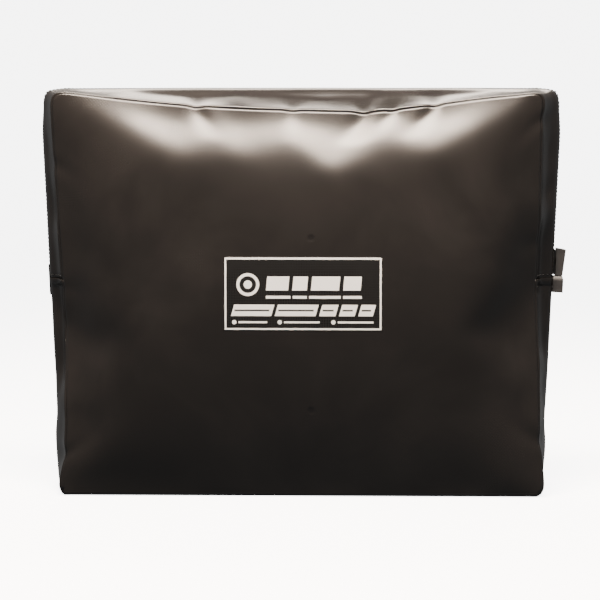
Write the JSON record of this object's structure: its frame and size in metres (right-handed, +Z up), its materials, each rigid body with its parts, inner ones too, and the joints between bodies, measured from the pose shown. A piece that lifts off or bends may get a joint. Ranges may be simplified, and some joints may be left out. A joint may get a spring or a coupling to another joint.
{
  "type": "cash deposit bag",
  "caption": "Box-sided cash deposit bag of black coated fabric with a zip round its gusset, a moulded seal housing and a printed front label.",
  "frame": {"origin": "centre of the flat base that the bag stands on", "axes": "+X along the bag's width, towards the seal housing; -Y towards the labelled front panel; +Z up"},
  "size_m": [0.4625, 0.1632, 0.356],
  "materials": {
    "coated_fabric": "satin black vinyl coating over a fine woven scrim",
    "zip_tape": "black woven zip tape",
    "zip_coil": "black nylon coil",
    "seam_binding": "black woven binding tape",
    "printed_vinyl": "black heat-pressed vinyl with a white print",
    "dark_plastic": "dark grey moulded nylon",
    "blackened_metal": "black-coated zinc die casting",
    "zinc_steel": "zinc-plated steel"
  },
  "bodies": {
    "bag_body": {"back_panel": "coated_fabric", "base_gusset": "coated_fabric", "front_panel_lower": "coated_fabric", "front_panel_fold": "coated_fabric", "gusset_fold_left": "coated_fabric", "gusset_fold_right": "coated_fabric", "zip_gusset_back": "coated_fabric", "zip_gusset_front_right": "coated_fabric", "zip_gusset_front_left": "coated_fabric", "zip_end_patch_left": "coated_fabric", "zip_tape_back": "zip_tape", "zip_tape_front_right": "zip_tape", "zip_tape_front_left": "zip_tape", "zip_coil_back": "zip_coil", "zip_coil_front_right": "zip_coil", "zip_coil_front_left": "zip_coil", "back_seam_binding": "seam_binding", "front_seam_binding_lower": "seam_binding", "label_patch": "printed_vinyl", "seal_housing": "dark_plastic", "seal_backplate": "zinc_steel", "housing_screw_front": "zinc_steel", "housing_screw_back": "zinc_steel"},
    "mouth_front": {"front_panel_upper": "coated_fabric", "zip_gusset_front_upper": "coated_fabric", "zip_tape_front_upper": "zip_tape", "zip_coil_front_upper": "zip_coil", "front_seam_binding_upper": "seam_binding"},
    "zip_slider": {"slider_body": "blackened_metal", "slider_grip": "dark_plastic", "slider_tongue": "zinc_steel", "slider_pin": "zinc_steel"}
  },
  "joints": [
    {"name": "mouth_open", "type": "hinge", "parent": "bag_body", "child": "mouth_front", "pos_m": [0, -0.02, 0.242], "axis": [1, 0, 0], "range_deg": [0, 50], "deforming": ["front_panel_fold", "gusset_fold_left", "gusset_fold_right"]},
    {"name": "zip_slide", "type": "slide", "parent": "bag_body", "child": "zip_slider", "axis": [0.0436, 0, 0.999], "range_m": [0, 0.1]}
  ],
  "couplings": [
    {"joint": "zip_slide", "follows": "mouth_open", "m_per_rad": 0.1145}
  ]
}
